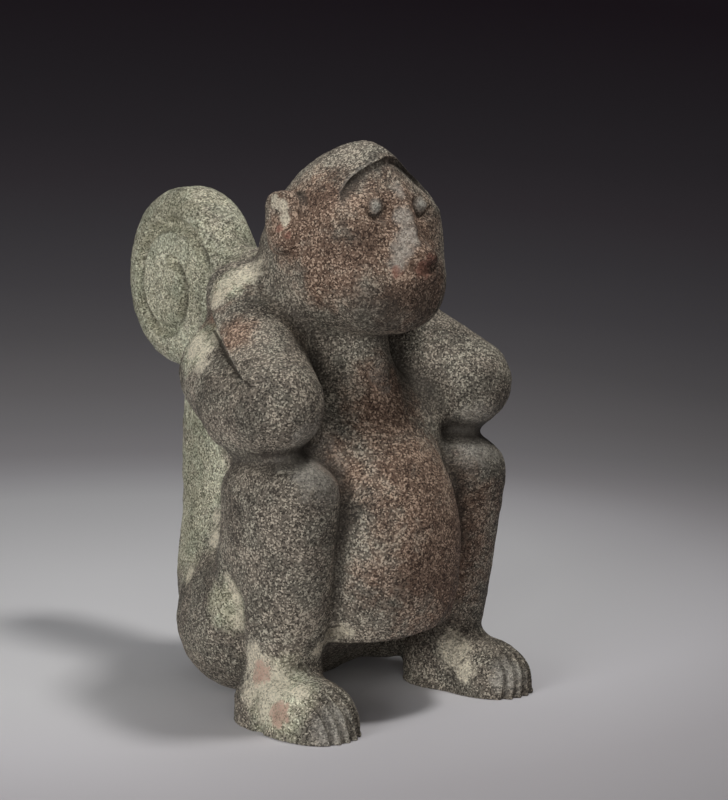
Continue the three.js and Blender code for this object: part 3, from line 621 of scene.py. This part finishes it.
def makeStoneMaterial():
    look = stoneLook
    material = bpy.data.materials.new('speckledStone')
    material.use_nodes = True
    tree = material.node_tree
    shader = tree.nodes['Principled BSDF']
    patches, grains = makePatchGroup(), makeGrainGroup()
    place = addNode(tree, 'ShaderNodeTexCoord').outputs['Object']
    mm = addNode(tree, 'ShaderNodeVectorMath', {0: place, 'Scale': 1000.0}, operation='SCALE').outputs[0]
    mark = {name: addNode(tree, 'ShaderNodeAttribute', attribute_name=name).outputs['Fac']
            for name in (*stains, 'vein', 'crevice', 'edge')}
    green = useGroup(tree, patches, Vector=mm, Mask=mark['pale'], Size=16.0, Crispness=1.5)['Patch']
    rust = useGroup(tree, patches, Vector=mm, Mask=mark['rust'], Size=13.0, Crispness=1.3)['Patch']
    wornAndSheen = useGroup(tree, patches, Vector=mm, Mask=mark['wornAndSheen'], Size=10.0, Crispness=1.2)['Patch']
    crust = useGroup(tree, patches, Vector=mm, Mask=mark['crust'], Size=5.5, Crispness=2.0)['Patch']
    blush = useGroup(tree, patches, Vector=mm, Mask=mark['blush'], Size=6.0, Crispness=2.6)['Patch']
    red = useGroup(tree, patches, Vector=mm, Mask=mark['red'], Size=4.0, Crispness=1.8)['Patch']

    cloud = noise(tree, mm, look['cloudSize'], 4.0, 0.6)
    lean = maths(tree, 'MULTIPLY', maths(tree, 'SUBTRACT', cloud, 0.52), 1.8)
    brown = useGroup(tree, grains, Vector=mm, Size=look['grainSize'], Lean=lean,
                     Dark=look['brown'][0], Middle=look['brown'][1], Light=look['brown'][2])
    pale = useGroup(tree, grains, Vector=mm, Size=look['grainSize'], Lean=lean,
                    Dark=look['green'][0], Middle=look['green'][1], Light=look['green'][2])
    colour = mixColour(tree, green, brown['Colour'], pale['Colour'])
    tint = mixColour(tree, step(tree, noise(tree, mm, 21.0, 4.0, 0.6), 0.42, 0.62), (1, 1, 1), look['cold'])
    rusty = maths(tree, 'MULTIPLY', rust, maths(tree, 'MULTIPLY_ADD', brown['Light'], -0.5, 1.0))
    tint = mixColour(tree, rusty, tint, look['rust'])
    colour = mixColour(tree, 1.0, colour, tint, 'MULTIPLY')
    # Lighter convex edges: partly edge wear, partly a painted highlight
    colour = mixColour(tree, maths(tree, 'MULTIPLY', step(tree, mark['edge'], 0.5, 0.9), 0.35), colour, look['rim'])
    grainy = maths(tree, 'MULTIPLY_ADD', brown['Light'], 0.7, 0.3)
    # Painted sheen: the worn spots are lightened towards a pale polish colour
    colour = mixColour(tree, maths(tree, 'MULTIPLY', wornAndSheen, maths(tree, 'MULTIPLY', grainy, 0.75)), colour, look['polishAndSheen'])
    colour = mixColour(tree, maths(tree, 'MULTIPLY', crust, grainy), colour, look['crust'])
    colour = mixColour(tree, maths(tree, 'MULTIPLY', blush, grainy), colour, look['blush'])
    colour = mixColour(tree, maths(tree, 'MULTIPLY', red, maths(tree, 'MULTIPLY', grainy, 0.7)), colour, look['red'])
    colour = mixColour(tree, maths(tree, 'MULTIPLY', mark['clear'], grainy), colour, look['eye'])
    colour = mixColour(tree, maths(tree, 'MULTIPLY', mark['vein'], maths(tree, 'MULTIPLY', grainy, 0.8)), colour, look['vein'])
    # Painted shade: darker colour in crevices, along the cut lines and on the shade spots
    paintedShadeMask = maths(tree, 'MULTIPLY_ADD', mark['paintedShadeSpots'], 0.75, step(tree, mark['crevice'], 0.2, 0.75))
    paintedShade = maths(tree, 'MULTIPLY', maths(tree, 'MINIMUM', paintedShadeMask, 1.0), 0.8)
    colour = mixColour(tree, paintedShade, colour, look['paintedShade'])
    tree.links.new(colour, shader.inputs['Base Color'])

    rough = addNode(tree, 'ShaderNodeMapRange', {0: wornAndSheen, 1: 0.0, 2: 1.0, 3: look['roughness'][0], 4: look['roughness'][1]})
    tree.links.new(rough.outputs[0], shader.inputs['Roughness'])
    height = maths(tree, 'MULTIPLY_ADD', noise(tree, mm, look['fineSize'], 2.0, 0.6), 0.7, brown['Light'])
    bump = addNode(tree, 'ShaderNodeBump', {'Height': height, 'Strength': 0.8, 'Distance': 0.0007})
    tree.links.new(bump.outputs[0], shader.inputs['Normal'])
    shader.inputs['Specular IOR Level'].default_value = 0.4
    return material


# The stone itself, in metres on the CAD solid's place

def makeStone():
    points, quads, slope = carveSurface()
    normals = slope / np.maximum(np.linalg.norm(slope, axis=1), 1e-6)[:, None]
    print('stone surface', len(points), 'points')
    marks = {name: spotMask(points, spots) for name, spots in stains.items()}
    # Painted shade: hollows and the cut lines are darkened in the shader
    marks['crevice'] = np.maximum(creviceMask(points, normals), lineMask(points, cuts))
    marks['edge'] = edgeMask(points, normals)
    marks['vein'] = lineMask(points, veins)
    points = roughenSurface(points, normals)
    points[:, 2] = np.where(points[:, 2] < surface['sole'], 0, points[:, 2])
    points[:, 1] -= middleY
    mesh = bpy.data.meshes.new('carvedStone')
    mesh.vertices.add(len(points))
    mesh.vertices.foreach_set('co', (points / 1000).astype(np.float32).ravel())
    mesh.loops.add(quads.size)
    mesh.loops.foreach_set('vertex_index', quads[:, ::-1].astype(np.int32).ravel())
    mesh.polygons.add(len(quads))
    mesh.polygons.foreach_set('loop_start', np.arange(0, quads.size, 4, dtype=np.int32))
    mesh.update(calc_edges=True)
    for name, values in marks.items():
        layer = mesh.attributes.new(name, 'FLOAT', 'POINT')
        layer.data.foreach_set('value', values.astype(np.float32))
    stone = bpy.data.objects.new('carvedStone', mesh)
    bpy.context.collection.objects.link(stone)
    thin = stone.modifiers.new('thin', 'DECIMATE')
    thin.ratio = surface['triangles'] / (2 * len(quads))
    bpy.context.view_layer.objects.active = stone
    bpy.ops.object.modifier_apply(modifier='thin')
    stone.data.polygons.foreach_set('use_smooth', np.ones(len(stone.data.polygons), bool))
    print('stone thinned', len(stone.data.polygons), 'faces')
    return stone


# Stage: a bowl of graded studio paper, flat under the stone, whose grade darkens away from a pool behind the stone as a
# painted falloff of light, and soft light from above on both sides

paper = {
    'flat': 0.9, 'bend': 0.9, 'wall': 2.5, 'around': 96, 'bendRings': 14,  # metres: the flat disc, its upturned rim
    'reach': 3.6, 'roughness': 0.9, 'pool': (0.1, 0.35),  # the middle of the painted pool of light, behind the stone, where the grade starts
    # Painted falloff of light: the paper's colour darkens with the way out from the pool and up the wall
    'paintedFalloff': [(0.0, (0.86, 0.855, 0.87)), (0.38, (0.80, 0.795, 0.81)), (0.52, (0.68, 0.665, 0.69)),
               (0.64, (0.52, 0.50, 0.52)), (0.78, (0.40, 0.385, 0.40)), (0.9, (0.315, 0.30, 0.31)),
               (1.08, (0.205, 0.195, 0.205)), (1.24, (0.142, 0.134, 0.146)), (1.39, (0.103, 0.096, 0.107)),
               (1.53, (0.076, 0.066, 0.076)), (1.66, (0.055, 0.048, 0.056)), (1.79, (0.042, 0.036, 0.043)),
               (2.02, (0.025, 0.017, 0.024)), (3.6, (0.014, 0.010, 0.014))],
}

camera = {
    'place': (-0.9368, -1.1268, 0.395), 'heading': 42, 'pitch': 7.70, 'lens': 94.5, 'sensor': 36,
}

lamps = {
    'overhead': {'place': (0.19, -0.32, 1.45), 'size': (0.22, 0.22), 'watts': 7.4, 'colour': (1.0, 0.985, 0.965)},
    'topBack': {'place': (0.35, 0.30, 1.5), 'size': (0.6, 0.6), 'watts': 2.2, 'colour': (0.98, 0.99, 1.0)},
    'lowLeft': {'place': (-1.46, -0.45, 0.46), 'size': (0.8, 0.5), 'watts': 13.0, 'colour': (1.0, 1.0, 1.0)},
    'front': {'place': (-0.98, -1.19, 0.62), 'size': (0.9, 0.5), 'watts': 4.2, 'colour': (1.0, 0.99, 0.98)},
}
room = {'colour': (0.5, 0.5, 0.52), 'strength': 0.16, 'aim': (0.0, 0.0, 0.17)}


def makePaper():
    rim = [(0.0, 0.0), (0.3, 0.0), (0.6, 0.0)]
    for i in range(paper['bendRings'] + 1):
        angle = math.radians(90 * i / paper['bendRings'])
        rim.append((paper['flat'] + paper['bend'] * math.sin(angle), paper['bend'] * (1 - math.cos(angle))))
    rim.append((paper['flat'] + paper['bend'], paper['wall']))
    count = paper['around']
    vertices = [(0, 0, 0)]
    for radius, height in rim[1:]:
        for i in range(count):
            turn = 2 * math.pi * i / count
            vertices.append((radius * math.cos(turn), radius * math.sin(turn), height))
    faces = [(0, 1 + i, 1 + (i + 1) % count) for i in range(count)]
    for ring in range(len(rim) - 2):
        start = 1 + ring * count
        for i in range(count):
            j = (i + 1) % count
            faces.append((start + i, start + count + i, start + count + j, start + j))
    mesh = bpy.data.meshes.new('paperBowl')
    mesh.from_pydata(vertices, [], faces)
    for face in mesh.polygons:
        face.use_smooth = True
    bowl = bpy.data.objects.new('paperBowl', mesh)
    bpy.context.collection.objects.link(bowl)
    mesh.materials.append(makePaperMaterial())


def makePaperMaterial():
    material = bpy.data.materials.new('paperWithPaintedFalloff')
    material.use_nodes = True
    tree = material.node_tree
    shader = tree.nodes['Principled BSDF']
    parts = addNode(tree, 'ShaderNodeSeparateXYZ', {0: addNode(tree, 'ShaderNodeTexCoord').outputs['Object']}).outputs
    beside = [maths(tree, 'SUBTRACT', parts[axis], middle) for axis, middle in zip('XY', paper['pool'])]
    flatPlace = addNode(tree, 'ShaderNodeCombineXYZ', {'X': beside[0], 'Y': beside[1]}).outputs[0]
    out = addNode(tree, 'ShaderNodeVectorMath', {0: flatPlace}, operation='LENGTH').outputs['Value']
    # Painted light: the paper darkens with the way from the pool, standing in for the light falling off
    way = maths(tree, 'DIVIDE', maths(tree, 'ADD', out, parts['Z']), paper['reach'])
    falloffRamp = addNode(tree, 'ShaderNodeValToRGB', {'Fac': way})
    stops = falloffRamp.color_ramp.elements
    while len(stops) < len(paper['paintedFalloff']):
        stops.new(0.5)
    for stop, (at, colour) in zip(stops, paper['paintedFalloff']):
        stop.position, stop.color = at / paper['reach'], (*colour, 1)
    tree.links.new(falloffRamp.outputs['Color'], shader.inputs['Base Color'])
    shader.inputs['Roughness'].default_value = paper['roughness']
    shader.inputs['Specular IOR Level'].default_value = 0.2
    return material


def makeCamera():
    data = bpy.data.cameras.new('studioCamera')
    data.lens, data.sensor_width = camera['lens'], camera['sensor']
    shooter = bpy.data.objects.new('studioCamera', data)
    bpy.context.collection.objects.link(shooter)
    heading, pitch = math.radians(camera['heading']), math.radians(camera['pitch'])
    ahead = Vector((math.sin(heading) * math.cos(pitch), math.cos(heading) * math.cos(pitch), -math.sin(pitch)))
    shooter.location = camera['place']
    shooter.rotation_euler = ahead.to_track_quat('-Z', 'Y').to_euler()
    bpy.context.scene.camera = shooter


def makeLamps():
    for name, lamp in lamps.items():
        data = bpy.data.lights.new(name, 'AREA')
        data.shape, (data.size, data.size_y) = 'RECTANGLE', lamp['size']
        data.energy, data.color = lamp['watts'], lamp['colour']
        light = bpy.data.objects.new(name, data)
        bpy.context.collection.objects.link(light)
        light.location = lamp['place']
        light.rotation_euler = (Vector(room['aim']) - Vector(lamp['place'])).to_track_quat('-Z', 'Y').to_euler()
    world = bpy.data.worlds.new('studioRoom')
    world.use_nodes = True
    background = world.node_tree.nodes['Background']
    background.inputs['Color'].default_value = (*room['colour'], 1)
    background.inputs['Strength'].default_value = room['strength']
    bpy.context.scene.world = world


stone = makeStone()
stone.data.materials.append(makeStoneMaterial())
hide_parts(stoneNode)
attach(stone, 'root')
print('stone in place')
makePaper()
makeCamera()
makeLamps()
bpy.context.scene.view_settings.view_transform = 'Standard'
print('stage, camera and lamps in place')
